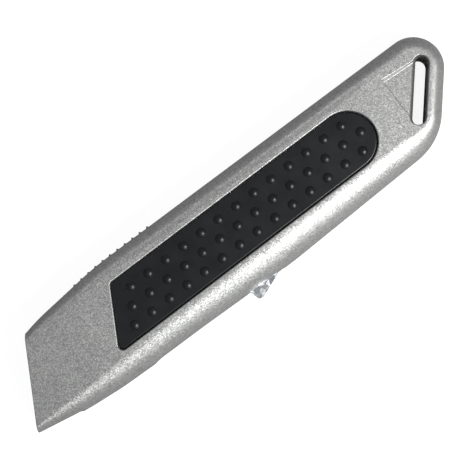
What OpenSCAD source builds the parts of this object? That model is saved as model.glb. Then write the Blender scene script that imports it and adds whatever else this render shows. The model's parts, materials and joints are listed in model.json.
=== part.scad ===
// Retracting utility knife lying on its right side: nose towards -X, tail towards +X,
// spine towards +Y, belly towards -Y. Lengths are laid out from the tip of the nose and
// heights from the centre line of the blade, then the whole knife is centred.

/* [Body] */
// Length from the tip of the nose to the tail
body_l = 152.8; // [146:0.2:190]
// Thickness of the two closed half shells
body_t = 17; // [16:0.5:22]
// Height of the spine above the blade's centre line, where it is highest
spine_h = 15.5; // [15.2:0.1:19]
// Depth of the belly below the blade's centre line, where it is deepest
belly_h = 16.9; // [16.6:0.1:20]
// How far the slope of the spine has dropped at the tail
spine_drop = 1.2; // [0:0.1:2]
// Height of the top of the nose
nose_top = 12.1; // [12:0.1:13]
// Depth of the tip of the nose
nose_low = 11.9; // [11.5:0.1:13]
// Slant of the nose face away from upright
nose_slant = 29.5; // [20:0.5:35]
// Slant of the tail edge above the length of the knife
tail_slant = 49.5; // [45:0.5:60]
// Radius of the upper corner of the tail
tail_r = 8.6; // [6:0.1:10]
// Radius of the lower corner of the tail
heel_r = 17; // [8:0.5:20]
// Rounding of the belly edges
belly_r = 7.2; // [4:0.1:7.4]
// Rounding of the edges around the tail
tail_edge_r = 4; // [2:0.1:6]
// Radius of the curved flank beside the spine
flank_r = 7; // [5:0.1:9]
// Width of that flank, from the crease to the spine
flank_w = 3.2; // [2:0.1:4]
// Height of that flank, from the crease down to the spine
flank_h = 4.9; // [4:0.1:6]

/* [Walls and cavity] */
// Thickness of each side wall
side_wall = 3; // [2.6:0.1:4]
// Thickness of the spine wall
spine_wall = 3.3; // [2.5:0.1:4]
// Thickness of the belly wall
belly_wall = 3.7; // [3:0.1:5]
// Length of solid nose in front of the cavity
nose_block = 18; // [16:0.5:20]
// Length of solid tail behind the cavity
tail_block = 25; // [24:0.5:30]
// Gap between parts that only clear each other
gap = 0.4; // [0.3:0.05:0.6]
// Radial clearance of pins in their holes
pin_fit = 0.02; // [0.01:0.01:0.05]

/* [Grip inlays] */
// Length of each inlay along its middle
grip_l = 89.2; // [60:0.5:95]
// Height of each inlay
grip_h = 16.7; // [12:0.1:18]
// Distance from the tip of the nose to the middle of the inlay's front edge
grip_u = 36.2; // [33:0.5:40]
// Depth of the recess that holds an inlay
recess_d = 2; // [1.6:0.1:2.2]
// How far an inlay's flat lies below the shell's side
grip_sink = 0.7; // [0.6:0.05:1]
// Height of the pips on an inlay
pip_h = 0.65; // [0.3:0.05:0.65]
// Radius of a pip
pip_r = 1.4; // [1:0.1:1.8]
// Distance from pip to pip along a row
pip_pitch = 6.1; // [4:0.1:8]
// Distance from row to row
row_pitch = 4.6; // [3.5:0.1:5]

/* [Tail slot] */
// Length of the lanyard slot
slot_l = 19.3; // [14:0.1:20]
// Width of the lanyard slot
slot_w = 4.45; // [3:0.05:5]
// Width of metal between the slot and the tail edge
slot_web = 4.5; // [4:0.1:6]
// Depth of the triangular relief beside the slot
relief_d = 1.2; // [0.5:0.1:2]

/* [Blade] */
// Length of the cutting edge
blade_l = 61; // [58:0.5:62]
// Length of the blade's back
blade_back = 34; // [30:0.5:38]
// Height of the blade
blade_h = 19; // [18:0.1:19.2]
// Thickness of the blade
blade_t = 0.6; // [0.4:0.05:0.7]
// Distance of the retracted tip behind the tip of the nose
blade_rest = 3.3; // [2:0.1:5]
// How far the carriage slides
travel = 14; // [8:0.5:17]
// Free space on each side of the blade in the nose
blade_side = 0.15; // [0.1:0.01:0.3]
// Thickness of each wear plate in the nose
guide_t = 0.8; // [0.5:0.1:1]

/* [Carriage] */
// Thickness of the carrier plate beside the blade
carrier_t = 3.8; // [3:0.1:4.2]
// Thickness of the clamp plate on the blade's other side
clamp_t = 2.6; // [2:0.1:3]
// Length of the thumb slider
slider_l = 31; // [24:0.5:33]
// Width of the thumb slider in its slot
slider_w = 6; // [4:0.1:6.4]
// Most ribs on the thumb slider, which has fewer when it is short
ribs = 11; // [5:1:11]
// Distance from rib to rib
rib_pitch = 2.6; // [2:0.1:2.6]
// Height of a rib
rib_h = 0.5; // [0.2:0.1:0.6]
// Diameter of the wire of the return spring
wire_d = 0.8; // [0.4:0.05:0.8]
// Outer diameter of the return spring
spring_d = 4.7; // [4:0.1:5]
// Turns of the return spring
spring_turns = 22; // [10:1:30]

/* [Release catch] */
// How far the catch's nub stands out of the belly
nub_h = 2.7; // [1.5:0.1:3]
// Width of the catch
catch_w = 3.2; // [2:0.1:4]
// Radius of the catch's pivot pin
pivot_r = 1; // [0.8:0.05:1.2]
// Clearance of the catch's bore around its pin
pivot_fit = 0.05; // [0.02:0.01:0.08]

/* [Fasteners] */
// Radius of a shell screw's thread
screw_r = 1.2; // [1:0.05:1.3]
// Radius of a shell screw's head
head_r = 2.1; // [1.8:0.05:2.2]
// Height of a shell screw's head
head_h = 1.6; // [1:0.1:1.8]
// Radius of a dowel
dowel_r = 1; // [0.8:0.05:1.1]

/* [Hidden] */

far = 300;             // longer than the knife
over = 1;              // how far a cutter runs past the surface it cuts
mid = body_t / 2;      // height of the parting plane and of the blade's middle
pad = 0.35;            // step of the smooth pad under the nose
zinc = "silver";
steel = "lightsteelblue";
rubber = [0.13, 0.13, 0.14];

// Geometry helpers: a direction, where two lines meet, and a polygon with rounded corners
function dir(a) = [cos(a), sin(a)];
function cross2(a, b) = a.x * b.y - a.y * b.x;
function meet(p, a, q, b) = p + dir(a) * cross2(q - p, dir(b)) / cross2(dir(a), dir(b));
function unit(v) = v / norm(v);
function corner(a, p, b, r, n) = r == 0 ? [p] : let(
  ua = unit(a - p),
  ub = unit(b - p),
  half = acos(ua * ub) / 2,
  c = p + unit(ua + ub) * r / sin(half),
  s = p + ua * r / tan(half) - c,
  e = p + ub * r / tan(half) - c,
  a0 = atan2(s.y, s.x),
  turn = (atan2(e.y, e.x) - a0 + 540) % 360 - 180
) [for (i = [0:n]) c + r * dir(a0 + turn * i / n)];
function rounded(pts, radii, n = 8) = [for (i = [0:len(pts) - 1])
  each corner(pts[(i + len(pts) - 1) % len(pts)], pts[i], pts[(i + 1) % len(pts)], radii[i], n)];

// Outline of the body, from the tip of the nose over the spine and back along the belly
nose_run = (nose_low + nose_top) * tan(nose_slant);
nose_tip = [0, -nose_low];
brow = [nose_run, nose_top];
crown_a = [27, spine_h - 0.9];
crown_b = [41, spine_h];
tail_c = [body_l - tail_r, spine_h - spine_drop - tail_r];
spine_a = -asin(spine_drop / (tail_c.x - crown_b.x));
tail_n = dir(tail_slant - 90);
tail_top = meet(crown_b, spine_a, tail_c + tail_r * tail_n, tail_slant);
belly_mid = [84, -belly_h];
belly_a = 1.7;
heel = meet(belly_mid, belly_a, tail_c + tail_r * tail_n, tail_slant);
pad_front = [13, -nose_low - 2.5];
pad_back = [38, -belly_h + 0.8];
outline = rounded(
  [nose_tip, brow, crown_a, crown_b, tail_top, heel, belly_mid, pad_back,
   pad_back - [pad, pad], pad_front - [-pad, pad / 2], pad_front],
  [0, 1.5, 60, 90, tail_r, heel_r, 200, 0, 0, 0, 0], 10);

// Cavity that holds the carriage
cav_top = spine_h - spine_wall;
cav_low = -belly_h + belly_wall;
cav_end = body_l - tail_block;
cavity = [[nose_block, cav_low + 1], [nose_block + 18, cav_low], [cav_end, cav_low],
  [cav_end, cav_top], [nose_block, cav_top]];

// Grip inlay: a slanted front, two nearly level sides and a round tail
grip_fit = 0.1;
grip_rise = 0.4;
grip_corner_r = 1.2;
grip_front = [grip_u, 0.5];
grip_end = grip_u + grip_l;
grip_c = [grip_end - grip_h / 2, 0.35];
function grip_outline(e) = let(
  top = grip_c.y + grip_h / 2 + e,
  low = grip_c.y - grip_h / 2 - e,
  f = grip_front - [e, 0]
) concat(
  rounded([meet(f, 90 - nose_slant, [0, low], 0), meet(f, 90 - nose_slant, [0, top + grip_rise], 0),
    [grip_c.x, top], [grip_c.x, low]], [grip_corner_r, grip_corner_r, 0, 0], 6));

// Lanyard slot, parallel to the tail edge
slot_c = tail_c + (tail_r - slot_web - slot_w / 2) * tail_n - 6.4 * dir(tail_slant);
slot_ends = [for (s = [-1, 1]) slot_c + s * (slot_l - slot_w) / 2 * dir(tail_slant)];
slot_side = slot_c - slot_w / 2 * tail_n;
relief_u = slot_c.x - 6.9;
relief_v = slot_c.y + 8.5;

// Blade and carriage, all at rest in the closed knife
guide_back = 2.2;
guide_fit = 0.05;
edge_v = -blade_h / 2;
back_v = blade_h / 2;
blade_end = blade_rest + blade_l;
blade_c = blade_rest + blade_l / 2;
blade_lean = (blade_l - blade_back) / 2 / blade_h;
notch_off = 4.75;
notch_r = 1.45;
notch_v = back_v - 1.2;
stud_u = blade_c + notch_off;
stud_r = 1.3;
bumper_t = 2;
carrier_front = nose_block + bumper_t + travel + gap;
carrier_z = mid - blade_t / 2 - carrier_t;
carrier_low = -7;
carrier_top = back_v + 0.7;
clamp_end = blade_end + 1.7;
clamp_z = mid + blade_t / 2;
clamp_hole = [blade_end - 4.3, 5];
clamp_screw_r = 1.5;
spring_v = 5.5;
post = [clamp_end + 16, spring_v];
post_r = 1;
post_top = mid + 2.7;
slider_u = carrier_front - 4.5;
flange_h = 1.8;
flange_w = 9;
slider_top = spine_h;
rib_n = min(ribs, floor((slider_l - 2.4) / rib_pitch));
rib_w = 0.7;
tab_u = slider_u + 10;
tab_end = min(slider_u + slider_l - 5, clamp_hole.x - clamp_screw_r - 2.6);
tab_l = tab_end - tab_u;
tab_t = 2;
rivet_r = 1;
rivets = [for (u = [3, tab_l - 3]) [tab_u + u, 7.6]];
magnet_c = [carrier_front + 11.5, -1];
magnet_r = 2.5;
magnet_h = 1.8;

// Release catch: a rocker with its nub in front of the pivot and its hook behind it
nub_u = clamp_end + 4.2;
pivot = [nub_u + 18, cav_low + 1.7];
catch_low = pivot.y - 1.1;
catch_top = pivot.y + 1.3;
catch_boss_r = 2;
hook_u = pivot.x + 12.3;
hook_v = carrier_low - 0.6;
catch_z = mid - catch_w / 2;
nub_v = -belly_h - nub_h;
catch_heel_u = pivot.x + 1.5;
catch_tip_u = hook_u + 0.4;
catch_tail_v = catch_low + 2;
catch_tail_slope = (catch_tail_v - catch_low) / (catch_tip_u - catch_heel_u);
catch_spring_u = pivot.x + 8.5;
catch_spring_r = 1.3;
catch_spring_turns = 3.5;
catch_wire_r = 0.2;
catch_pocket = 1.7;
catch_pocket_r = catch_spring_r + 0.7;

// Tail bar of the carrier, whose lug meets the hook at the end of the travel
bar_t = 5;
bar_low = carrier_low + 0.1;
bar_top = bar_low + 4.3;
lug_u = hook_u + travel + gap - 0.1;
lug_l = 4.2;
lug_v = bar_low - 1.8;
bar_end = lug_u + lug_l;
anchor = [bar_end + 6, spring_v];
anchor_r = 1.25;
anchor_room = 2.9;
stop_u = bar_end + gap;
stop_l = 3;
rib_t = 2.5;

// Fasteners
boss_v = (bar_top + spring_v - spring_d / 2) / 2;
screw_spots = [[24, cav_low + 1.3], [pivot.x + 3.8, boss_v], [lug_u - 4, boss_v],
  [cav_end + 2.6, -6.5]];
seat_z = side_wall + 0.8;
screw_tip = body_t - recess_d - 1.8;
screw_fit = 0.15;
boss_r = 2;
boss_foot_r = head_r + 0.7;
dowel_boss_r = dowel_r + 0.9;
dowel_l = 6.6;
dowel_hole = dowel_l / 2 + 0.2;
pivot_boss_r = pivot_r + 1.2;
anchor_boss_r = anchor_r + 1.1;
pin_l = 8;
pin_hole = pin_l / 2 + 0.2;
socket_r = 0.9;
socket_d = 1;
dowel_spots = [[48, cav_low + 1.3], [pivot.x + 16, cav_top - 1.6]];

// Centre of the knife's box, with the ribs and the nub
centre = [body_l / 2, (slider_top + rib_h + nub_v) / 2, 0];

module place() {
  translate(-centre) children();
}

// A flat piece with its outline in length and height, from z0 upwards
module slab(z0, t, pts) {
  translate([0, 0, z0]) linear_extrude(t) polygon(pts);
}

module peg(p, r, z0, z1) {
  translate([p.x, p.y, z0]) cylinder(h = z1 - z0, r = r, $fn = 48);
}

module mirrored() {
  translate([0, 0, body_t]) mirror([0, 0, 1]) children();
}

// Corner waste outside an arc that meets the edge wall h below the side and the side w in.
// Both meetings are at a slight angle, so no two surfaces only touch.
module arc_waste(w, h, r) {
  l = norm([w, h]);
  c = [w, -h] / 2 + [h, -w] / l * sqrt(r * r - l * l / 4);
  difference() {
    translate([-over, body_t + c.y]) square([c.x + over, over - c.y]);
    translate([c.x, body_t + c.y]) circle(r = r, $fn = 96);
  }
}

module round_waste(r) {
  arc_waste(r, r, 1.18 * r);
}

// Waste beside the curved flank of the spine, which meets the side in a crease
module flank_waste() {
  arc_waste(flank_w, flank_h, flank_r);
}

// Carries a waste profile along the edge from p to q, with the body on the left
module along(p, q, lead) {
  a = atan2(q.y - p.y, q.x - p.x);
  translate([p.x, p.y, 0]) rotate([0, 0, a]) translate([-lead, 0, 0])
    rotate([90, 0, 90]) linear_extrude(norm(q - p) + 2 * lead) children();
}

// The upper half of the solid body, rounded outside
module half_body() {
  difference() {
    slab(mid, mid, outline);
    along(nose_tip, pad_front, 2) round_waste(belly_r - 2);
    along(pad_front, pad_back, 0) round_waste(belly_r - 1);
    along(pad_back, belly_mid, 0) round_waste(belly_r);
    along(belly_mid, heel, 0) round_waste(belly_r);
    along(heel, tail_top, 0) round_waste(tail_edge_r);
    along(tail_top, crown_b, 0) flank_waste();
    along(crown_b, crown_a, 1) flank_waste();
    along(crown_a, brow, 2) flank_waste();
    translate([tail_c.x, tail_c.y, 0]) rotate([0, 0, tail_slant - 90])
      rotate_extrude(angle = 180 - tail_slant, $fn = 96)
      translate([tail_r, 0]) mirror([1, 0]) round_waste(tail_edge_r);
  }
}

// Bosses and ribs inside a half shell
module half_bosses() {
  inner = body_t - side_wall + over;
  for (p = screw_spots) peg(p, boss_r, mid, inner);
  for (p = dowel_spots) peg(p, dowel_boss_r, mid, inner);
  peg(pivot, pivot_boss_r, mid + catch_w / 2 + gap, inner);
  peg(anchor, anchor_boss_r, mid + anchor_room, inner);
  translate([stop_u + stop_l, cav_low - 0.2, mid])
    cube([rib_t, bar_top - cav_low + 1, inner - mid]);
}

// Everything cut out of a half shell alike on both sides
module half_cuts() {
  translate([slider_u - travel - gap - 0.2, cav_top - over, mid - over])
    cube([slider_l + travel + 2 * gap + 0.4, spine_h, slider_w / 2 + 0.3 + over]);
  translate([slider_u - travel - gap, back_v + gap, mid - over])
    cube([nose_block, cav_top - back_v - gap, flange_w / 2 + gap + over]);
  translate([nub_u - 2 * gap, nub_v, mid - over])
    cube([12.4, cav_low - nub_v + over, catch_w / 2 + gap + over]);
  slab(mid - over, blade_t / 2 + blade_side + over, [[-far, edge_v - gap],
    [nose_block + over, edge_v - gap], [nose_block + over, back_v + gap], [-far, back_v + gap]]);
  slab(mid, blade_t / 2 + blade_side + guide_t + guide_fit, guide_outline(guide_fit));
  slab(body_t - recess_d, recess_d + over, grip_outline(grip_fit));
  peg(grip_c, grip_h / 2 + grip_fit, body_t - recess_d, body_t + over);
  slab(0, far, [for (s = [1, -1]) each [for (t = [1, -1])
    slot_c + s * (slot_l - slot_w) / 2 * dir(tail_slant) + s * t * slot_w / 2 * tail_n]]);
  for (p = slot_ends) peg(p, slot_w / 2, -over, body_t + over);
  relief();
  peg(pivot, catch_boss_r + gap, mid - over, mid + catch_w / 2 + gap);
  translate([catch_spring_u, cav_low + over, mid]) rotate([90, 0, 0])
    cylinder(h = catch_pocket + over, r = catch_pocket_r, $fn = 48);
  for (p = dowel_spots) peg(p, dowel_r + pin_fit, mid - over, mid + dowel_hole);
  peg(pivot, pivot_r + pin_fit, mid - over, mid + pin_hole);
  peg(anchor, anchor_r + pin_fit, mid - over, mid + pin_hole);
}

// Triangular relief beside the lanyard slot, deepest along its upper edge
module relief() {
  low = meet(slot_side, tail_slant, [relief_u, 0], 90);
  top = meet(slot_side, tail_slant, [0, relief_v], 0);
  tilt = atan(relief_d / (relief_v - low.y));
  translate([0, low.y, body_t]) rotate([-tilt, 0, 0]) translate([0, -low.y, 0])
    slab(0, 2 * relief_d, [low - [0, 0.2], top + [0.2, 0.2], [relief_u, relief_v + 0.2]]);
}

// A wear plate stands back from the nose face, and e is added to it all round
function guide_outline(e) = [
  [(nose_low + edge_v) * tan(nose_slant) + guide_back - e, edge_v - e],
  [nose_block - gap + e, edge_v - e],
  [nose_block - gap + e, back_v + e],
  [(nose_low + back_v) * tan(nose_slant) + guide_back - e, back_v + e]];

module left_shell() {
  color(zinc) place() difference() {
    union() {
      difference() {
        half_body();
        slab(mid - over, mid - side_wall + over, cavity);
      }
      half_bosses();
    }
    half_cuts();
    for (p = screw_spots) peg(p, screw_r + pin_fit, mid - over, screw_tip + 0.2);
  }
}

module right_shell() {
  color(zinc) place() difference() {
    mirrored() union() {
      difference() {
        half_body();
        slab(mid - over, mid - side_wall + over, cavity);
      }
      half_bosses();
      for (p = screw_spots) peg(p, boss_foot_r, body_t - side_wall - 1.6, body_t - side_wall + over);
    }
    mirrored() half_cuts();
    for (p = screw_spots) peg(p, screw_r + screw_fit, seat_z - over, mid + over);
    for (p = screw_spots) peg(p, head_r + screw_fit, -over, seat_z);
  }
}

// Rubber inlay with three staggered rows of pips
module grip() {
  slab(body_t - recess_d, recess_d - grip_sink, grip_outline(0));
  peg(grip_c, grip_h / 2, body_t - recess_d, body_t - grip_sink);
  row_v = [grip_c.y + row_pitch, grip_c.y, grip_c.y - row_pitch];
  row_u = [45.1, 42.2, 39.5];
  row_n = [13, 14, 14];
  for (k = [0:2], i = [0:row_n[k] - 1])
    translate([row_u[k] + pip_pitch * i, row_v[k], body_t - grip_sink])
      cylinder(h = pip_h, r1 = pip_r, r2 = pip_r * 0.55, $fn = 24);
}

module left_grip() {
  color(rubber) place() grip();
}

module right_grip() {
  color(rubber) place() mirrored() grip();
}

module left_blade_guide() {
  color("dimgray") place() slab(mid + blade_t / 2 + blade_side, guide_t, guide_outline(0));
}

module right_blade_guide() {
  color("dimgray") place() mirrored()
    slab(mid + blade_t / 2 + blade_side, guide_t, guide_outline(0));
}

module front_bumper() {
  h = back_v + 0.1 - cav_low - 1.2;
  color(rubber) place() difference() {
    translate([nose_block, cav_low + 1.2, mid - 3.9]) cube([bumper_t, h, 7.8]);
    translate([nose_block - over, edge_v - gap, mid - blade_t / 2 - gap])
      cube([bumper_t + 2 * over, blade_h + 2 * gap, blade_t + 2 * gap]);
  }
}

module rear_bumper() {
  color(rubber) place() translate([stop_u, lug_v, mid - 3.5])
    cube([stop_l, bar_top - lug_v, 7]);
}

module dowel_pins() {
  color(steel) place() for (p = dowel_spots) peg(p, dowel_r, mid - dowel_l / 2, mid + dowel_l / 2);
}

module shell_screws() {
  color("dimgray") place() for (p = screw_spots) difference() {
    union() {
      peg(p, screw_r, seat_z - 0.1, screw_tip);
      peg(p, head_r, seat_z - head_h, seat_z);
    }
    translate([p.x, p.y, seat_z - head_h - over]) cylinder(h = over + socket_d, r = socket_r, $fn = 6);
  }
}

module spring_anchor() {
  color(steel) place() peg(anchor, anchor_r, mid - pin_l / 2, mid + pin_l / 2);
}

module catch_pivot() {
  color(steel) place() peg(pivot, pivot_r, mid - pin_l / 2, mid + pin_l / 2);
}

// Wire swept along a list of points, with six sides
function turned(n, t) = unit(n - (n * t) * t);
function tangent(path, i) = unit(path[min(i + 1, len(path) - 1)] - path[max(i - 1, 0)]);
function sides(path, n0) = [for (i = 0, n = turned(n0, tangent(path, 0)); i < len(path);
  i = i + 1, n = i < len(path) ? turned(n, tangent(path, i)) : n) n];

module wire(path, n0, r, m = 6) {
  n = sides(path, n0);
  last = len(path) - 1;
  points = [for (i = [0:last], k = [0:m - 1]) path[i]
    + r * (cos(360 * k / m) * n[i] + sin(360 * k / m) * cross(tangent(path, i), n[i]))];
  faces = concat(
    [[for (k = [0:m - 1]) k]],
    [[for (k = [m - 1:-1:0]) last * m + k]],
    [for (i = [0:last - 1], k = [0:m - 1])
      [i * m + k, (i + 1) * m + k, (i + 1) * m + (k + 1) % m, i * m + (k + 1) % m]]);
  polyhedron(points = points, faces = faces, convexity = 10);
}

// Small compression spring that keeps the catch's nub out
module catch_spring() {
  low = cav_low - catch_pocket + catch_wire_r + 0.05;
  front = catch_spring_u - catch_spring_r - catch_wire_r;
  high = catch_low + catch_tail_slope * (front - catch_heel_u) - catch_wire_r - 0.1;
  steps = 12;
  last = catch_spring_turns * steps;
  path = [for (i = [0:last]) [
    catch_spring_u + catch_spring_r * cos(360 * i / steps),
    low + (high - low) * i / last,
    mid + catch_spring_r * sin(360 * i / steps)]];
  color(steel) place() wire(path, [1, 0, 0], catch_wire_r);
}

module release_catch() {
  color(steel) place() difference() {
    union() {
      slab(catch_z, catch_w, [
        [nub_u, catch_top], [nub_u, -belly_h + 0.6], [nub_u + 0.9, nub_v + 0.4],
        [nub_u + 1.6, nub_v], [nub_u + 2.3, nub_v], [nub_u + 9.6, -belly_h + 0.1],
        [nub_u + 10, cav_low + 0.3], [nub_u + 12.5, catch_low], [catch_heel_u, catch_low],
        [catch_tip_u, catch_tail_v], [hook_u, hook_v], [hook_u - 1.2, hook_v],
        [hook_u - 1.8, catch_top]]);
      peg(pivot, catch_boss_r, catch_z, catch_z + catch_w);
    }
    peg(pivot, pivot_r + pivot_fit, catch_z - over, catch_z + catch_w + over);
  }
}

module blade_carrier() {
  color("darkgray") place() difference() {
    union() {
      slab(carrier_z, carrier_t, [[carrier_front, carrier_low], [clamp_end + 6, carrier_low],
        [clamp_end + 6, bar_top], [clamp_end + 2, spring_v - 3.5], [post.x + 2.5, spring_v - 3.5],
        [post.x + 2.5, spring_v + 3.5], [clamp_end, spring_v + 3.5], [clamp_end, carrier_top],
        [carrier_front, carrier_top]]);
      slab(mid - 1, 1 + blade_t / 2, [
        [blade_end - (carrier_low + 1 - edge_v) * blade_lean + 0.2, carrier_low + 1],
        [clamp_end, carrier_low + 1], [clamp_end, back_v - 0.1],
        [blade_end - (back_v - 0.1 - edge_v) * blade_lean + 0.2, back_v - 0.1]]);
      slab(mid - bar_t / 2, bar_t, [[clamp_end + 0.6, bar_low], [lug_u, bar_low],
        [lug_u, lug_v], [bar_end, lug_v], [bar_end, bar_top], [clamp_end + 0.6, bar_top]]);
      peg([stud_u, notch_v], stud_r, mid - 1, clamp_z + 1.1);
    }
    translate([tab_u - 0.1, 4.9, carrier_z - over]) cube([tab_l + 0.2, far, tab_t + 0.1 + over]);
    for (p = rivets) peg(p, rivet_r + pin_fit, carrier_z, clamp_z);
    peg(magnet_c, magnet_r + pin_fit, mid - blade_t / 2 - magnet_h - 0.05, clamp_z);
    peg(clamp_hole, clamp_screw_r + pin_fit, carrier_z - over, clamp_z + over);
    peg(post, post_r + pin_fit, carrier_z - over, clamp_z + over);
  }
}

// Trapezoid blade with two notches in its back; the cutting edge is ground from both sides
module blade() {
  grind = 2.2;
  color("gainsboro") place() difference() {
    slab(mid - blade_t / 2, blade_t, [[blade_rest, edge_v], [blade_end, edge_v],
      [blade_end - blade_lean * blade_h, back_v], [blade_rest + blade_lean * blade_h, back_v]]);
    for (s = [-1, 1]) {
      peg([blade_c + s * notch_off, notch_v], notch_r, mid - over, mid + over);
      translate([blade_c + s * notch_off - notch_r, notch_v, mid - over])
        cube([2 * notch_r, over * 2, 2 * over]);
      translate([0, edge_v, mid]) rotate([90, 0, 90]) translate([0, 0, -over])
        linear_extrude(blade_end + 2 * over)
        polygon([[-0.1, s * 0.04], [grind, s * blade_t / 2], [grind, s * blade_t], [-0.1, s * blade_t]]);
    }
  }
}

module blade_magnet() {
  color("dimgray") place()
    peg(magnet_c, magnet_r, mid - blade_t / 2 - magnet_h, mid - blade_t / 2);
}

module blade_clamp() {
  color("darkgray") place() difference() {
    slab(clamp_z, clamp_t, rounded([[carrier_front + 1.5, carrier_low + 1],
      [clamp_end, carrier_low + 1], [clamp_end, back_v], [carrier_front + 1.5, back_v]],
      [2, 2, 2, 2], 6));
    peg([stud_u, notch_v], stud_r + 0.1, clamp_z - over, clamp_z + 1.3);
    peg(clamp_hole, clamp_screw_r + 0.1, clamp_z - over, clamp_z + clamp_t + over);
  }
}

module clamp_screw() {
  top = clamp_z + clamp_t;
  color("dimgray") place() difference() {
    union() {
      peg(clamp_hole, clamp_screw_r, carrier_z + 0.4, top + 0.1);
      peg(clamp_hole, clamp_screw_r + 1.2, top, top + 1.6);
    }
    translate([clamp_hole.x - 3, clamp_hole.y - 0.4, top + 0.9]) cube([6, 0.8, over]);
  }
}

module spring_post() {
  color(steel) place() {
    peg(post, post_r, carrier_z + 0.2, post_top);
    peg(post, post_r + 0.5, post_top - 0.6, post_top);
  }
}

// Tension spring: an eye round the post, the coil, and an eye round the anchor
module return_spring() {
  eye_r = 1.75;
  z = mid + 1;
  first = post.x + 4.2;
  last = anchor.x - 4.2;
  coil_r = (spring_d - wire_d) / 2;
  steps = 8;
  turns = spring_turns + 0.5;
  eye_a = [for (a = [-150:30:150]) [post.x - eye_r * cos(a), post.y + eye_r * sin(a), z]];
  coil = [for (i = [0:turns * steps]) [
    first + (last - first) * i / (turns * steps),
    spring_v + coil_r * cos(360 * i / steps),
    z - 1 + coil_r * sin(360 * i / steps)]];
  eye_b = [for (a = [-150:30:150])
    [anchor.x + eye_r * cos(a), anchor.y + eye_r * sin(a), z]];
  color("slategray") place() wire(concat(eye_a, coil, eye_b), [0, 0, 1], wire_d / 2);
}

// Thumb slider: ribbed top in the spine slot, a flange under the spine and a tab to the carrier
module thumb_slider() {
  flange_z = mid - flange_w / 2;
  color(zinc) place() difference() {
    union() {
      translate([slider_u + 0.6, carrier_top, flange_z]) cube([slider_l - 1.2, flange_h, flange_w]);
      slab(mid - slider_w / 2, slider_w, [[slider_u, carrier_top + flange_h - 0.5],
        [slider_u + slider_l, carrier_top + flange_h - 0.5], [slider_u + slider_l, slider_top],
        [slider_u + slider_l / 2, slider_top - 0.1], [slider_u, slider_top - 0.5]]);
      for (i = [0:rib_n - 1]) let(u = slider_u + slider_l / 2 + (i - (rib_n - 1) / 2) * rib_pitch)
        slab(mid - slider_w / 2 + 0.3, slider_w - 0.6, [
          [u - 0.7, slider_top - 0.6], [u + 0.7, slider_top - 0.6], [u + rib_w / 2, slider_top + rib_h],
          [u - rib_w / 2, slider_top + rib_h]]);
      translate([tab_u, 5, carrier_z]) cube([tab_l, carrier_top - 5 + over, tab_t]);
    }
    for (p = rivets) peg(p, rivet_r + pin_fit, carrier_z - over, carrier_z + tab_t + over);
  }
}

module slider_rivets() {
  color(steel) place() for (p = rivets) peg(p, rivet_r, carrier_z, mid - blade_t / 2);
}

left_shell();
right_shell();
left_grip();
right_grip();
left_blade_guide();
right_blade_guide();
front_bumper();
rear_bumper();
dowel_pins();
shell_screws();
spring_anchor();
catch_pivot();
catch_spring();
release_catch();
blade_carrier();
blade();
blade_magnet();
blade_clamp();
clamp_screw();
spring_post();
return_spring();
thumb_slider();
slider_rivets();
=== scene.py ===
"""Retracting utility knife: two painted castings with rubber inlays, a spring-loaded blade
carriage with a thumb slider in the spine, and a release catch in the belly."""
import json
import math

import bmesh
import bpy
from mathutils import Matrix, Vector


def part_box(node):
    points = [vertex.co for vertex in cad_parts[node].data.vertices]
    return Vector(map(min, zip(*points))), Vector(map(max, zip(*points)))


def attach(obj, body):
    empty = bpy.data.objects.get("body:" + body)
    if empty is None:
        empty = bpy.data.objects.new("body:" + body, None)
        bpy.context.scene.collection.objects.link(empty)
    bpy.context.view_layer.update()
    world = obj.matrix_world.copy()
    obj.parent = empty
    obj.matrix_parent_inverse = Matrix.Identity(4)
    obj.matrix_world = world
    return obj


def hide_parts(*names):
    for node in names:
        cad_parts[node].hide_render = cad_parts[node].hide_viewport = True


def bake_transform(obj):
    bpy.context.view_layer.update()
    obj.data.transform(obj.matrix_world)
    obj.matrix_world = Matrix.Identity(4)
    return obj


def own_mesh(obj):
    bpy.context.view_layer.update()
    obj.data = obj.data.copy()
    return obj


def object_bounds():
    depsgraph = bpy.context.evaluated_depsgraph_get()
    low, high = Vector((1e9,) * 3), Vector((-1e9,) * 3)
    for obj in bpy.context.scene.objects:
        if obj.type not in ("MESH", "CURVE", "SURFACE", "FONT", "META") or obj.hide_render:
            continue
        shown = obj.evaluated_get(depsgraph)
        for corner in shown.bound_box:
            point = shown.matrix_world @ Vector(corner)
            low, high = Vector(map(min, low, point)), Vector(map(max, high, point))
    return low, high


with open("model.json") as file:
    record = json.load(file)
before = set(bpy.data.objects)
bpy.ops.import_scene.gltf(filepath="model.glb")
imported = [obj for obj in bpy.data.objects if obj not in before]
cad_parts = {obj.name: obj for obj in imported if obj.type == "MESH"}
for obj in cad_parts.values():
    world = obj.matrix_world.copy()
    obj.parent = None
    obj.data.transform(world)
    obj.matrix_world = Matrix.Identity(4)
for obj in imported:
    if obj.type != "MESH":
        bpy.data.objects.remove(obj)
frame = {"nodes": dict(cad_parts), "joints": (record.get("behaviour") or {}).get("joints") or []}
cad_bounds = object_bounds()

# ---------------------------------------------------------------- Half shells
# The body is two zinc castings that meet on the blade's plane and are held by four screws.
# Both are cast alike, then painted with a silver lacquer that is full of coarse flakes.
# Lengths are in millimetres from the tip of the nose, heights from the blade's middle line.
mm = 0.001
blade_low, blade_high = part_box("blade")
nose_corner = Vector((
    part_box("left_shell")[0].x,
    (blade_low.y + blade_high.y) / 2,
    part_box("right_shell")[0].z,
))
body_to_row = Matrix.Translation(nose_corner) @ Matrix.Scale(mm, 4)


def box_mm(node):
    """The lowest and highest corner of a piece, in millimetres from the tip of the nose."""
    return [body_to_row.inverted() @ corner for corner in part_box(node)]


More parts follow.
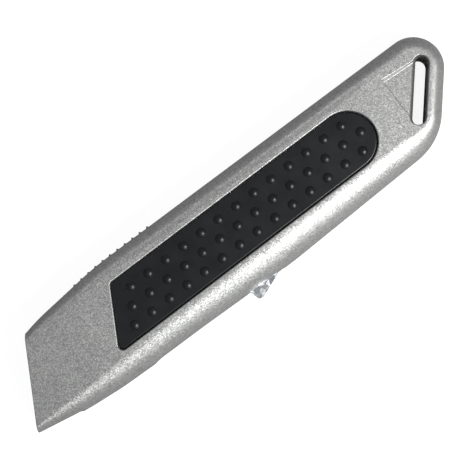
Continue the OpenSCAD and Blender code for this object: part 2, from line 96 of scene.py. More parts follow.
def spots(node):
    """The middle of each separate solid in a node, such as each screw of a set."""
    mesh = bmesh.new()
    mesh.from_mesh(frame["nodes"][node].data)
    bmesh.ops.remove_doubles(mesh, verts=mesh.verts, dist=1e-6)
    left = set(mesh.verts)
    found = []
    while left:
        solid = set()
        edge = [left.pop()]
        while edge:
            vert = edge.pop()
            solid.add(vert)
            linked = {e.other_vert(vert) for e in vert.link_edges} & left
            left -= linked
            edge += linked
        corners = [[f(v.co[k] for v in solid) for k in range(3)] for f in (min, max)]
        found.append(body_to_row.inverted() @ ((Vector(corners[0]) + Vector(corners[1])) / 2))
    mesh.free()
    return sorted(found, key=lambda spot: spot.x)


side = box_mm("left_shell")[1].z
length = box_mm("left_shell")[1].x
seam = box_mm("left_shell")[0].z
travel = frame["joints"][0]["range_m"][1] / mm

nose_low = 11.9
nose_slant = 29.5
tail_slant = 49.5
tail_high = 14.3
tail_r = 8.6
heel_r = 17
belly_low = -16.9
# How far the round edge reaches in from the outline, and how far down from the side
heel_w, heel_h = 6.5, 6.9
tail_w, tail_h = 3.5, 4.6
# Where the belly's round edge ends on the side, and the spine edge's reach and height
belly_inner = [(0, -10.1), (48, -9.24), (118, -8.93), (130, -8.93)]
spine_w = [(-2, 0.9), (14, 1.8), (34, 2.75), (60, 3.05), (124, 3.05), (144, tail_w)]
spine_h = [(10, 3.8), (40, 4.7), (124, 4.7), (144, tail_h)]
# How steeply the round edge leaves the wall, and how long it stays level before the side
wall_lead = 0.55
belly_lead = 0.43
tail_lead = 0.52
spine_lead = 0.45
# The shallow facet between the side and the round spine edge
facet_w = 1.0
facet_tilt = 5
facet_end = 124
seam_groove = 0.12
# Behind the nose, the belly stands out by a small step along this stretch
pad_step = 0.35
pad_ends = (13, 37.7)


def heading(angle):
    return Vector((math.cos(math.radians(angle)), math.sin(math.radians(angle))))


def meet(p, a, q, b):
    """Where the line through p at angle a meets the line through q at angle b."""
    across = (q - p).cross(heading(b)) / heading(a).cross(heading(b))
    return p + heading(a) * across


def arc(centre, radius, start, turn, steps):
    return [centre + radius * heading(start + turn * i / steps) for i in range(steps + 1)]


def rounded(corners, step=2.0, steps=None):
    """The path through (point, radius) corners, with true arcs at the corners."""
    path = []
    for i, (p, radius) in enumerate(corners):
        back = (corners[i - 1][0] - p).normalized()
        ahead = (corners[(i + 1) % len(corners)][0] - p).normalized()
        if radius:
            half = back.angle(ahead) / 2
            centre = p + (back + ahead).normalized() * radius / math.sin(half)
            start = p + back * radius / math.tan(half) - centre
            turn = math.degrees(math.pi - 2 * half) * (1 if ahead.cross(back) > 0 else -1)
            count = steps or min(max(4, math.ceil(abs(math.radians(turn)) * radius / 0.6)), 40)
            bend = arc(centre, radius, math.degrees(math.atan2(start.y, start.x)), turn, count)
        else:
            bend = [p]
        if path:
            run = bend[0] - path[-1]
            count = int(run.length / step)
            path += [path[-1] + run * k / (count + 1) for k in range(1, count + 1)]
        path += bend
    return path


def ease(value, points):
    """A value that runs straight between the (place, value) points, and level beyond them."""
    if value <= points[0][0]:
        return points[0][1]
    for (a, va), (b, vb) in zip(points, points[1:]):
        if value <= b:
            return va + (vb - va) * (value - a) / (b - a)
    return points[-1][1]


def smooth(t):
    t = min(max(t, 0), 1)
    return t * t * (3 - 2 * t)


tail_c = Vector((length - tail_r, tail_high - tail_r))
tail_edge = tail_c + tail_r * heading(tail_slant - 90)
brow_back = Vector((-2, 9.05))
brow_front = Vector((18.5, 13.4))
crown = Vector((40, 15.5))
spine_fall = -0.66
belly_mid = Vector((84, belly_low))
belly_rise = 1.75
heel = meet(belly_mid, belly_rise, tail_edge, tail_slant)
tail_top = meet(crown, spine_fall, tail_edge, tail_slant)
shell_path = rounded([
    (Vector((-12, -9.72)), 0), (Vector((14, -14.45)), 80), (Vector((26, -15.55)), 80),
    (Vector((37, -15.9)), 60), (Vector((54, -16.1)), 200), (belly_mid, 200), (heel, heel_r),
    (tail_top, tail_r), (crown, 90), (brow_front, 60), (brow_back, 0),
])


def edge_form(point, lean):
    """How the edge is rounded at a point of the outline: width, height, facet and pad, and how
    far in the curve keeps level."""
    u = point.x
    on_the_tail = lean > belly_rise + 1 and (lean < 178 or u > tail_c.x)
    if on_the_tail:
        t = smooth((lean - belly_rise) / (tail_slant - belly_rise))
        return (heel_w + (tail_w - heel_w) * t, heel_h + (tail_h - heel_h) * t, 0, 0,
                belly_lead + (tail_lead - belly_lead) * t)
    if point.y < 0:
        width = max(ease(u, belly_inner) - point.y, 0.8)
        on_pad = smooth((u - pad_ends[0]) / 0.5 + 0.5) * smooth((pad_ends[1] - u) / 1.2 + 0.5)
        return width, 2.5 + 0.67 * width, 0, pad_step * on_pad, belly_lead
    facet = ease(u, [(10, 0.25), (60, 1)]) * (1 - smooth((u - facet_end) / 20))
    return ease(u, spine_w), ease(u, spine_h), facet, 0, spine_lead


def edge_profile(width, height, facet, pad, lead):
    """Points (inset, level) from the seam up the wall, over the round edge and onto the side."""
    points = [(seam_groove - pad, seam), (-pad, seam + seam_groove)]
    steps = [(0.3, 0), (0.12, 0.6), (max(facet_w * facet, 0.2), 1), (0.12, 0.75),
             (0.12, 0.5), (0.12, 0.25)]
    rises = [run * math.tan(math.radians(facet_tilt * facet * share)) for run, share in steps]
    last = Vector((width, side - sum(rises)))
    first = Vector((0, side - height))
    pull = [first + Vector((0, wall_lead * height)), last - Vector((lead * width, 0))]
    for k in range(15):
        t = k / 14
        at = ((1 - t) ** 3 * first + 3 * t * (1 - t) ** 2 * pull[0]
              + 3 * t * t * (1 - t) * pull[1] + t ** 3 * last)
        points.append((at.x - pad * (1 - smooth(3 * t)), at.y))
    for (run, share), rise in zip(steps, rises):
        last = last + Vector((run, rise))
        points.append((last.x, last.y))
    return points


def skin(rings):
    """A closed mesh through rings that run anticlockwise, from the lowest to the highest."""
    mesh = bmesh.new()
    loops = [[mesh.verts.new(p) for p in ring] for ring in rings]
    for low, high in zip(loops, loops[1:]):
        for i in range(len(low)):
            j = (i + 1) % len(low)
            mesh.faces.new((low[i], low[j], high[j], high[i]))
    mesh.faces.new(loops[0][::-1])
    mesh.faces.new(loops[-1])
    return mesh


def level(path, z):
    return [Vector((p.x, p.y, z)) for p in path]


def slab(path, low, high):
    return skin([level(path, low), level(path, high)])


def circle(centre, radius, steps=48):
    return arc(Vector(centre[:2]), radius, 0, 360, steps)[:-1]


def rod(centre, radius, low, high):
    return slab(circle(centre, radius), low, high)


def block(low, high):
    corners = [Vector((low[0], low[1])), Vector((high[0], low[1])),
               Vector((high[0], high[1])), Vector((low[0], high[1]))]
    return slab(corners, low[2], high[2])


def work_object(mesh):
    data = bpy.data.meshes.new("work")
    mesh.to_mesh(data)
    mesh.free()
    thing = bpy.data.objects.new("work", data)
    bpy.context.scene.collection.objects.link(thing)
    return thing


def combine(body, tool, how="DIFFERENCE", solver="EXACT"):
    """Cuts a tool out of a body, or joins it on, and returns the new mesh."""
    things = [work_object(body), work_object(tool)]
    change = things[0].modifiers.new("change", "BOOLEAN")
    change.object = things[1]
    change.operation = how
    change.solver = solver
    bpy.context.view_layer.update()
    result = bmesh.new()
    result.from_object(things[0], bpy.context.evaluated_depsgraph_get())
    for thing in things:
        bpy.data.meshes.remove(thing.data)
    return result


def face_off(mesh, point, normal, soft):
    """Cuts a mesh off flat at a plane and leaves a small round edge around the cut."""
    cut = bmesh.ops.bisect_plane(
        mesh, geom=mesh.verts[:] + mesh.edges[:] + mesh.faces[:], plane_co=point - soft * normal,
        plane_no=normal, clear_outer=True)
    edges = {e for e in cut["geom_cut"] if isinstance(e, bmesh.types.BMEdge)}
    edge = edges.pop()
    loop = [edge.verts[0], edge.verts[1]]
    while edges:
        edge = next(e for e in loop[-1].link_edges if e in edges)
        edges.discard(edge)
        loop.append(edge.other_vert(loop[-1]))
    loop.pop()
    middle = sum((v.co for v in loop), Vector()) / len(loop)
    turn = sum(((a.co - middle).cross(b.co - middle).dot(normal)
                for a, b in zip(loop, loop[1:] + loop[:1])))
    if turn < 0:
        loop.reverse()
    # Each corner moves in square to both sides that meet there, but not off the seam
    inward = []
    for i, v in enumerate(loop):
        sides = [(v.co - loop[i - 1].co).normalized(),
                 (loop[(i + 1) % len(loop)].co - v.co).normalized()]
        ways = [normal.cross(s) for s in sides]
        on_seam = [abs(s.z) < 1e-4 and v.co.z < seam + 1e-4 for s in sides]
        amounts = [0 if flat else 1 for flat in on_seam]
        twist = ways[0].cross(ways[1]).dot(normal)
        if abs(twist) < 0.05:
            inward.append((ways[0] + ways[1]).normalized() * max(amounts))
        else:
            inward.append((ways[1].cross(normal) * amounts[0]
                           - ways[0].cross(normal) * amounts[1]) / twist)
    rims = [loop]
    for k in (1, 2, 3):
        a = math.radians(30 * k)
        rims.append([mesh.verts.new(
            v.co + soft * (math.sin(a) * normal + (1 - math.cos(a)) * way))
            for v, way in zip(loop, inward)])
    for low, high in zip(rims, rims[1:]):
        for i in range(len(low)):
            j = (i + 1) % len(low)
            mesh.faces.new((low[i], low[j], high[j], high[i]))
    mesh.faces.new(rims[-1])
    return mesh


def blank():
    """The outside of one half as it would be if it were solid."""
    stations = []
    levels = []
    for i, p in enumerate(shell_path):
        before, after = shell_path[i - 1], shell_path[(i + 1) % len(shell_path)]
        if i == 0:
            before = p
        if i == len(shell_path) - 1:
            after = p
        along = (after - before).normalized()
        lean = math.degrees(math.atan2(along.y, along.x)) % 360
        lean = lean - 360 if lean > 270 else lean
        profile = edge_profile(*edge_form(p, lean))
        inward = Vector((-along.y, along.x))
        stations.append([p + inward * inset for inset, _ in profile])
        levels.append([z for _, z in profile])
    rings = [[Vector((s[k].x, s[k].y, z[k])) for s, z in zip(stations, levels)]
             for k in range(len(stations[0]))]
    return skin(rings)


# Lip left by a cutter: the wall turns outwards in a small arc where it meets the side
lip = 0.35


def lip_rings(flare):
    """The last (level, extra) steps of a cutter: the arc of the lip, and a run out past it."""
    rings = [(side - flare, 0)]
    for a in (160, 140, 120, 102):
        rings.append((side - flare + flare * math.sin(math.radians(a)),
                      flare + flare * math.cos(math.radians(a))))
    return rings + [(side + 0.04, flare * 1.05), (side + 1, flare * 1.05)]


def pocket(shape, floor, flare=lip):
    """A cutter for a hole of shape(extra) down to a floor, with a rounded lip at the side."""
    return skin([level(shape(extra), z) for z, extra in [(floor, 0)] + lip_rings(flare)])


# Grip recess: slanted front, nearly level sides, round tail
grip_low, grip_high = box_mm("left_grip")
grip_h = 16.7
grip_front = Vector((36.2, 0.5))
grip_c = Vector((grip_high.x - grip_h / 2, grip_low.y + grip_h / 2))
grip_rise = 0.4
grip_corners = (1.1, 1.3)
recess_floor = grip_low.z
grip_top = recess_floor + 1.3
grip_gap = 0.1


def grip_shape(extra):
    """The inlay's outline, widened all round by an extra amount."""
    front = grip_front - Vector((extra, 0))
    up, down = grip_c.y + grip_h / 2 + extra, grip_c.y - grip_h / 2 - extra
    corners = [meet(front, 90 - nose_slant, Vector((0, v)), 0) for v in (up + grip_rise, down)]
    front_path = rounded([
        (Vector((grip_c.x, up)), 0),
        (corners[0], grip_corners[0] + extra),
        (corners[1], grip_corners[1] + extra),
        (Vector((grip_c.x, down)), 0),
    ], 500, 8)
    return front_path + arc(grip_c, grip_h / 2 + extra, -90, 180, 48)[1:-1]


def recess_shape(extra):
    """The recess is a little wider than the inlay all round."""
    return grip_shape(extra + grip_gap)


# Lanyard slot along the slanted tail, and the sunken triangle in front of it
slot_l = 19.3
slot_w = 4.45
slot_web = 4.5
slot_drop = 6.4
slot_draft = 0.75
tail_n = heading(tail_slant - 90)
slot_c = tail_c + (tail_r - slot_web - slot_w / 2) * tail_n - slot_drop * heading(tail_slant)


def slot_shape(extra, draft=0):
    """The slot's outline, widened all round, or drawn in on its front side by its draft."""
    r = (slot_w - draft) / 2 + extra
    middle = slot_c + draft / 2 * tail_n
    reach = (slot_l - slot_w + draft) / 2 * heading(tail_slant)
    return (arc(middle + reach, r, tail_slant - 90, 180, 20)
            + arc(middle - reach, r, tail_slant + 90, 180, 20))


relief_left = slot_c.x - 6.7
relief_top = slot_c.y + 8.75
relief_depth = 0.9
relief_run = 11.4
# How the upper bank of the triangle leans: (share of the depth, distances in from its top
# at the front and at the slot)
relief_bank = [(1, 1.2, 1.75), (0.97, 1.07, 1.67), (0.86, 0.93, 1.6), (0.7, 0.82, 1.55),
               (0.3, 0.42, 1.42), (0.13, 0.26, 1.37), (0.04, 0.12, 1.3), (-0.02, -0.04, 1.2)]


def slot_cutter():
    """The slot: upright behind, and with a sloping wall on the side of the triangle."""
    floor = side - relief_depth - 0.1
    rings = [(seam - 1, 0, slot_draft), (floor - 1.5, 0, slot_draft), (floor, 0, 0)]
    rings += [(z, extra, 0) for z, extra in lip_rings(lip)]
    return skin([level(slot_shape(extra, draft), z) for z, extra, draft in rings])


def groove(a, b, width, low, high):
    """A cutter for a fine V groove from a to b."""
    way = (b - a).normalized()
    out = Vector((way.y, -way.x)) / 2
    return skin([level([a + out * w, b + out * w, b - out * w, a - out * w], z)
                 for z, w in ((low, 0.2 * width), (high, width))])


def relief():
    """A cutter for the sunken triangle: a flat floor, upright walls and a banked upper wall."""
    line = slot_c - (slot_w / 2 - 0.6) * tail_n
    rings = []
    for share, front_inset, slot_inset in relief_bank + [(-1.5, -0.04, 1.2)]:
        left = relief_left - max(0, 0.12 - 0.3 * max(share, 0))
        foot = meet(line, tail_slant, Vector((left, 0)), 90)
        front = Vector((left, relief_top - front_inset))
        fall = math.degrees(math.atan2(front_inset - slot_inset, relief_run))
        corner = meet(line, tail_slant, front, fall)
        height = side - relief_depth * share
        rings.append([Vector((p.x, p.y, height)) for p in (foot, corner, front)])
    return skin(rings)


def relief_lines():
    """Fine grooves where the die's insert met, along two sides of the triangle."""
    line = slot_c - (slot_w / 2 + 0.12) * tail_n
    foot = meet(line, tail_slant, Vector((relief_left, 0)), 90)
    corner = meet(line, tail_slant, Vector((0, relief_top - 1.75)), 0)
    front = Vector((relief_left + 0.08, relief_top - 1.3))
    floor = side - relief_depth
    return [groove(foot, corner, 0.22, floor - 0.15, floor + 0.1),
            groove(foot + Vector((0.08, 0)), front, 0.3, floor - 0.25, floor + 0.1)]


side_wall = 3
spine_wall = 3.3
belly_wall = 3.7
nose_block = 18
nose_ramp = 18
tail_block = 25
clear = 0.4
plate_gap = 0.05
cavity_top = crown.y - spine_wall
cavity_low = belly_low + belly_wall
cavity_end = length - tail_block
slider_low, slider_high = box_mm("thumb_slider")
catch_low, catch_high = box_mm("release_catch")
guide_low, guide_high = box_mm("left_blade_guide")
edge_v = (blade_low.y - nose_corner.y) / mm
back_v = (blade_high.y - nose_corner.y) / mm
channel = 0.45
slider_hole = 3.3
carriage_half = 4.9
catch_half = (catch_high.z - catch_low.z) / 2
catch_slot_l = 12.4
# Bosses inside the halves, and the blind holes for the pins in them
screw_boss_r = 2
dowel_boss_r = 1.9
pivot_boss_r = 2.2
anchor_boss_r = 2.35
anchor_boss_low = 2.9
head_boss_r = 2.8
head_boss_d = 1.6
dowel_hole_r = 1.03
anchor_hole_r = 1.28
pin_hole_d = 4.2
dowel_hole_d = 3.5
stop_rib = 2.5
# Screw holes: tapped in one half, clear in the other, with a sunk seat for the head
head_h = 1.6
tapped_r = 1.22
tapped_end = 13.4
loose_r = 1.35
seat_r = 2.25
seat_lip = 0.2
brow_round = 1.1


def brow_cutter():
    """Waste outside the round upper corner of the nose."""
    run = brow_front - brow_back
    crown_lean = math.degrees(math.atan2(run.y, run.x))
    corner = meet(Vector((0, -nose_low)), 90 - nose_slant, brow_front, crown_lean)
    back = -heading(90 - nose_slant)
    ahead = heading(crown_lean)
    half = back.angle(ahead) / 2
    centre = corner + (back + ahead).normalized() * brow_round / math.sin(half) * 0.985
    start = math.degrees(math.atan2(ahead.y, ahead.x)) + 90 - 12
    turn = math.degrees(math.pi - 2 * half) + 24
    bend = arc(centre, brow_round, start, turn, 14)
    out = (corner - centre).normalized() * 6
    return slab(bend + [bend[-1] + out, bend[0] + out], seam - 1, side + 1)


def bosses(screwed):
    """The round bosses inside a half, and the rib that the rear bumper rests against."""
    roof = side - side_wall + 1
    made = [rod(spot, screw_boss_r, seam, roof) for spot in spots("shell_screws")]
    made += [rod(spot, dowel_boss_r, seam, roof) for spot in spots("dowel_pins")]
    made.append(rod(spots("catch_pivot")[0], pivot_boss_r, seam + catch_half + clear, roof))
    made.append(rod(spots("spring_anchor")[0], anchor_boss_r, seam + anchor_boss_low, roof))
    stop = box_mm("rear_bumper")[1]
    made.append(block((stop.x, cavity_low - 0.2, seam), (stop.x + stop_rib, stop.y + 1, roof)))
    if screwed:
        made += [rod(spot, head_boss_r, side - side_wall - head_boss_d, roof)
                 for spot in spots("shell_screws")]
    return made


def guide_seat():
    """The seat of a wear plate, which is as slanted in front as the nose."""
    front, back = guide_low.x - plate_gap, guide_high.x + plate_gap
    foot, top = edge_v - plate_gap, back_v + plate_gap
    slant = (back_v - edge_v) * math.tan(math.radians(nose_slant))
    return slab([Vector((front, foot)), Vector((back, foot)), Vector((back, top)),
                 Vector((front + slant, top))], seam - 1, guide_high.z + plate_gap)


def openings():
    """Cutters for the slider's slot, the carriage's way, the catch's slot and the blade's slit."""
    reach = slider_low.x - travel - clear
    catch_front = catch_low.x - 2 * clear
    return [
        block((slider_low.x - travel - 0.6, cavity_top - 1, seam - 1),
              (slider_high.x + 0.6, 30, seam + slider_hole)),
        block((reach, back_v + clear, seam - 1),
              (reach + nose_block, cavity_top, seam + carriage_half)),
        block((catch_front, -30, seam - 1),
              (catch_front + catch_slot_l, cavity_low + 1, seam + catch_half + clear)),
        block((-30, edge_v - clear, seam - 1), (nose_block + 1, back_v + clear, seam + channel)),
    ]


def pin_holes():
    """Blind holes for the catch's pin, the spring's anchor and the two dowels."""
    pivot, anchor = spots("catch_pivot")[0], spots("spring_anchor")[0]
    holes = [
        rod(pivot, pivot_boss_r + 0.2, seam - 1, seam + catch_half + clear),
        rod(pivot, dowel_hole_r, seam - 1, seam + pin_hole_d),
        rod(anchor, anchor_hole_r, seam - 1, seam + pin_hole_d),
    ]
    return holes + [rod(spot, dowel_hole_r, seam - 1, seam + dowel_hole_d)
                    for spot in spots("dowel_pins")]


def screw_holes(screwed):
    """Clear holes with sunk seats in one half, and tapped blind holes in the other."""
    if not screwed:
        return [rod(spot, tapped_r, seam - 1, tapped_end) for spot in spots("shell_screws")]
    seat = side - (box_mm("shell_screws")[0].z + head_h)
    holes = []
    for spot in spots("shell_screws"):
        holes.append(rod(spot, loose_r, seam - 1, seat + 1))
        holes.append(pocket(lambda extra: circle(spot, seat_r + extra), seat, seat_lip))
    return holes


def half_shell(screwed):
    """One casting, drawn as the upper one. The screwed one has the holes for the heads."""
    nose_face = Vector((-heading(nose_slant).x, heading(nose_slant).y, 0))
    shell = face_off(blank(), Vector((0, -nose_low, 0)), nose_face, 0.25)
    shell = combine(shell, brow_cutter())
    cavity = slab([
        Vector((nose_block, cavity_low + 1)), Vector((nose_block + nose_ramp, cavity_low)),
        Vector((cavity_end, cavity_low)), Vector((cavity_end, cavity_top)),
        Vector((nose_block, cavity_top)),
    ], seam - 1, side - side_wall)
    shell = combine(shell, cavity)
    for boss in bosses(screwed):
        shell = combine(shell, boss, "UNION")
    cuts = [pocket(recess_shape, recess_floor), relief(), *relief_lines(), slot_cutter()]
    cuts += [*openings(), guide_seat(), *pin_holes(), *screw_holes(screwed)]
    for tool in cuts:
        shell = combine(shell, tool)
    return shell


def turned_over(mesh):
    """The same piece on the knife's other side."""
    mesh.transform(Matrix.Translation((0, 0, 2 * seam)) @ Matrix.Diagonal((1, 1, -1, 1)))
    bmesh.ops.reverse_faces(mesh, faces=mesh.faces)
    return mesh


def blank_finish(name):
    """A new material: its nodes, its links, its shader and the place on the piece in metres."""
    finish = bpy.data.materials.new(name)
    finish.use_nodes = True
    tree = finish.node_tree
    place = tree.nodes.new("ShaderNodeTexCoord").outputs["Object"]
    return finish, tree.nodes, tree.links, tree.nodes["Principled BSDF"], place


def texture(nodes, links, place, kind, scale, **inputs):
    """A texture that stays with the piece as it moves."""
    grain = nodes.new("ShaderNodeTex" + kind)
    links.new(place, grain.inputs["Vector"])
    grain.inputs["Scale"].default_value = scale
    for key, value in inputs.items():
        grain.inputs[key].default_value = value
    return grain


def spread(nodes, links, source, low, high, to):
    """Spreads a texture's value between two limits and feeds it to a socket."""
    span = nodes.new("ShaderNodeMapRange")
    span.inputs["From Min"].default_value = 0.25
    span.inputs["From Max"].default_value = 0.75
    span.inputs["To Min"].default_value = low
    span.inputs["To Max"].default_value = high
    links.new(source, span.inputs["Value"])
    links.new(span.outputs["Result"], to)


def shades(nodes, links, source, dark, light, to):
    """Runs a colour from dark to light with a texture's value."""
    ramp = nodes.new("ShaderNodeValToRGB")
    ramp.color_ramp.elements[0].position = 0.2
    ramp.color_ramp.elements[0].color = (*dark, 1)
    ramp.color_ramp.elements[1].position = 0.8
    ramp.color_ramp.elements[1].color = (*light, 1)
    links.new(source, ramp.inputs["Fac"])
    links.new(ramp.outputs["Color"], to)


def vector_step(nodes, links, operation, way):
    step = nodes.new("ShaderNodeVectorMath")
    step.operation = operation
    links.new(way, step.inputs[0])
    return step


def tilted(nodes, links, colour, amount):
    """The surface's direction, tilted a little for each grain by the grain's own colour."""
    centred = vector_step(nodes, links, "SUBTRACT", colour)
    centred.inputs[1].default_value = (0.5, 0.5, 0.5)
    small = vector_step(nodes, links, "SCALE", centred.outputs["Vector"])
    small.inputs["Scale"].default_value = amount
    leaning = vector_step(nodes, links, "ADD", small.outputs["Vector"])
    links.new(nodes.new("ShaderNodeNewGeometry").outputs["Normal"], leaning.inputs[1])
    return vector_step(nodes, links, "NORMALIZE", leaning.outputs["Vector"]).outputs["Vector"]


def relief_bump(nodes, links, shader, heights, soft_edge=0, start=None):
    """Bumps a finish with one or more (height, depth in metres, strength) layers."""
    normal = start
    if soft_edge:
        edge = nodes.new("ShaderNodeBevel")
        edge.samples = 4
        edge.inputs["Radius"].default_value = soft_edge
        normal = edge.outputs["Normal"]
    for height, depth, strength in heights:
        bump = nodes.new("ShaderNodeBump")
        bump.inputs["Distance"].default_value = depth
        bump.inputs["Strength"].default_value = strength
        links.new(height, bump.inputs["Height"])
        if normal is not None:
            links.new(normal, bump.inputs["Normal"])
        normal = bump.outputs["Normal"]
    links.new(normal, shader.inputs["Normal"])


def silver_paint():
    """Lacquer full of flakes: each grain has its own grey and its own slight tilt."""
    finish, nodes, links, shader, place = blank_finish("silver_paint")
    flakes = texture(nodes, links, place, "Voronoi", 3500)
    cloud = texture(nodes, links, place, "Noise", 2400, Detail=3, Roughness=0.6)
    handled = texture(nodes, links, place, "Noise", 60, Detail=4, Roughness=0.6)
    flake_value = nodes.new("ShaderNodeSeparateColor")
    links.new(flakes.outputs["Color"], flake_value.inputs["Color"])
    mix = nodes.new("ShaderNodeMath")
    mix.operation = "MULTIPLY_ADD"
    mix.inputs[1].default_value = 0.5
    links.new(flake_value.outputs["Red"], mix.inputs[0])
    half = nodes.new("ShaderNodeMath")
    half.operation = "MULTIPLY"
    half.inputs[1].default_value = 0.5
    links.new(cloud.outputs["Fac"], half.inputs[0])
    links.new(half.outputs["Value"], mix.inputs[2])
    shades(nodes, links, mix.outputs["Value"], (0.40, 0.405, 0.395), (0.66, 0.665, 0.65),
           shader.inputs["Base Color"])
    shader.inputs["Metallic"].default_value = 0.85
    spread(nodes, links, handled.outputs["Fac"], 0.42, 0.5, shader.inputs["Roughness"])
    relief_bump(nodes, links, shader, [
        (mix.outputs["Value"], 0.00003, 0.5),
        (cloud.outputs["Fac"], 0.00004, 0.25),
    ], start=tilted(nodes, links, flakes.outputs["Color"], 0.13))
    return finish


def make_piece(name, mesh, finish, body, slot, *nodes, sharp=32):
    """Puts a finished mesh in its place on the knife, shades it and joins it to its body."""
    mesh.transform(body_to_row)
    bmesh.ops.recalc_face_normals(mesh, faces=mesh.faces)
    data = bpy.data.meshes.new(name)
    mesh.to_mesh(data)
    mesh.free()
    data.materials.clear()
    data.materials.append(finish)
    data.shade_smooth()
    data.set_sharp_from_angle(angle=math.radians(sharp))
    made = bpy.data.objects.new(name, data)
    bpy.context.scene.collection.objects.link(made)
    flat = made.modifiers.new("even shading", "WEIGHTED_NORMAL")
    flat.keep_sharp = True
    if body:
        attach(made, body)
    if nodes:
        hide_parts(*nodes)
    return made


paint = silver_paint()
make_piece("left_half_shell", half_shell(False), paint, "housing", "silver_paint", "left_shell")
make_piece("right_half_shell", turned_over(half_shell(True)), paint, "housing", "silver_paint",
           "right_shell")

# ---------------------------------------------------------------- Grip inlays
# Each side has a black rubber inlay, moulded with three rows of round pips and pressed into
# its recess with glue. Its edge is rounded and lies a little below the painted side.
grip_round = 0.7
pip_r = 1.4
pip_h = 0.65
pip_pitch = 6.1
pip_rows = [(45.1, 4.6, 13), (42.2, 0, 14), (39.5, -4.6, 14)]


def pip(centre):
    """A dome whose foot runs out into the flat of the inlay."""
    sphere = (pip_r ** 2 + pip_h ** 2) / (2 * pip_h)
    steep = math.degrees(math.asin(pip_r / sphere))
    rings = [(pip_r, grip_top - 0.3), (pip_r, grip_top + 0.001)]
    for k in range(1, 7):
        a = math.radians(steep * (1 - k / 7.2))
        rings.append((sphere * math.sin(a), grip_top + pip_h - sphere * (1 - math.cos(a))))
    return skin([level(circle(centre, r, 28), z) for r, z in rings])


def grip_inlay():
    """The inlay with its round edge and three rows of pips, each row moulded on in one go."""
    rings = [(recess_floor, 0), (grip_top - grip_round, 0)]
    for a in (15, 30, 45, 60, 75, 90):
        rings.append((grip_top - grip_round * (1 - math.sin(math.radians(a))),
                      -grip_round * (1 - math.cos(math.radians(a)))))
    inlay = skin([level(grip_shape(extra), z) for z, extra in rings])
    for first, offset, count in pip_rows:
        row = bmesh.new()
        for i in range(count):
            one = pip(Vector((first + pip_pitch * i, grip_c.y + offset)))
            data = bpy.data.meshes.new("pip")
            one.to_mesh(data)
            one.free()
            row.from_mesh(data)
            bpy.data.meshes.remove(data)
        inlay = combine(inlay, row, "UNION")
    return inlay


def black_rubber():
    """Moulded rubber with a very fine skin and a trace of dust."""
    finish, nodes, links, shader, place = blank_finish("black_rubber")
    grain = texture(nodes, links, place, "Noise", 5200, Detail=2, Roughness=0.5)
    dust = texture(nodes, links, place, "Noise", 130, Detail=5, Roughness=0.65)
    shades(nodes, links, dust.outputs["Fac"], (0.0045, 0.005, 0.006), (0.009, 0.0095, 0.011),
           shader.inputs["Base Color"])
    spread(nodes, links, dust.outputs["Fac"], 0.30, 0.42, shader.inputs["Roughness"])
    shader.inputs["Specular IOR Level"].default_value = 0.5
    relief_bump(nodes, links, shader, [(grain.outputs["Fac"], 0.00004, 0.25)])
    return finish


rubber = black_rubber()
make_piece("left_rubber_inlay", grip_inlay(), rubber, "housing", "black_rubber", "left_grip")
make_piece("right_rubber_inlay", turned_over(grip_inlay()), rubber, "housing", "black_rubber",
           "right_grip")

# ---------------------------------------------------------------- Thumb slider
# A painted casting that runs in the slot of the spine. Its top has rounded ribs for the
# thumb, a flange under the spine holds it in, and a tab is riveted to the blade carrier.
rib_count = 11
rib_pitch = 2.6
rib_half = 0.46
rib_h = 0.52
slider_half = 3
flange_inset = 0.6
flange_h = 1.8
tab_inset = 10
tab_l = 16
tab_t = 2
rivet_hole_r = 1.02
slider_foot = back_v + 0.7
# Height of the spine along the slider, which the slider's top follows
spine_line = [(30, 14.5), (33, 14.75), (36, 15), (40, 15.27), (44, 15.42), (63, 15.24)]


def slider_crest(u):
    """Height of the slider's top: it follows the spine and carries the ribs."""
    place = (u - (slider_low.x + slider_high.x) / 2) / rib_pitch + (rib_count - 1) / 2
    nearest = min(max(round(place), 0), rib_count - 1)
    away = abs(place - nearest) * rib_pitch / rib_half
    rib = rib_h * math.cos(away * math.pi / 2) ** 0.8 if away < 1 else 0
    return ease(u, spine_line) + rib


def slider_side(soft):
    """Side view of the slider's upper part, drawn in by a small amount for its soft edges."""
    front, back = slider_low.x + soft, slider_high.x - soft
    steps = 260
    end_round = 0.5
    crest = [back + (front - back) * i / steps for i in range(steps + 1)]
    tops = []
    for u in crest:
        near = max(0, end_round - min(u - front, back - u))
        drop = end_round - math.sqrt(max(0, end_round ** 2 - near ** 2))
        tops.append(Vector((u, slider_crest(u) - soft - drop)))
    foot = slider_foot + flange_h - 0.5
    return [Vector((front, foot)), Vector((back, foot))] + tops


def eased(mesh, soft):
    """Rounds the sharp edges of a plain mesh a little."""
    sharp = math.radians(25)
    edges = [e for e in mesh.edges if e.is_manifold and e.calc_face_angle() > sharp]
    bmesh.ops.bevel(mesh, geom=edges, offset=soft, segments=2, profile=0.6, affect="EDGES",
                    clamp_overlap=True)
    return mesh


def slider_mesh():
    near, far = seam - slider_half, seam + slider_half
    rings = [(near, 0.3), (near + 0.06, 0.12), (near + 0.25, 0),
             (far - 0.25, 0), (far - 0.06, 0.12), (far, 0.3)]
    slider = skin([level(slider_side(soft), z) for z, soft in rings])
    flange = block((slider_low.x + flange_inset, slider_foot, slider_low.z),
                   (slider_high.x - flange_inset, slider_foot + flange_h, slider_high.z))
    tab_low = box_mm("slider_rivets")[0].z
    tab = block((slider_low.x + tab_inset, slider_low.y, tab_low),
                (slider_low.x + tab_inset + tab_l, slider_foot + 1, tab_low + tab_t))
    slider = combine(slider, eased(flange, 0.2), "UNION")
    slider = combine(slider, eased(tab, 0.15), "UNION")
    for spot in spots("slider_rivets"):
        slider = combine(slider, rod(spot, rivet_hole_r, 0, seam))
    return slider


make_piece("ribbed_thumb_slider", slider_mesh(), paint, "carriage", "silver_paint", "thumb_slider",
           sharp=40)

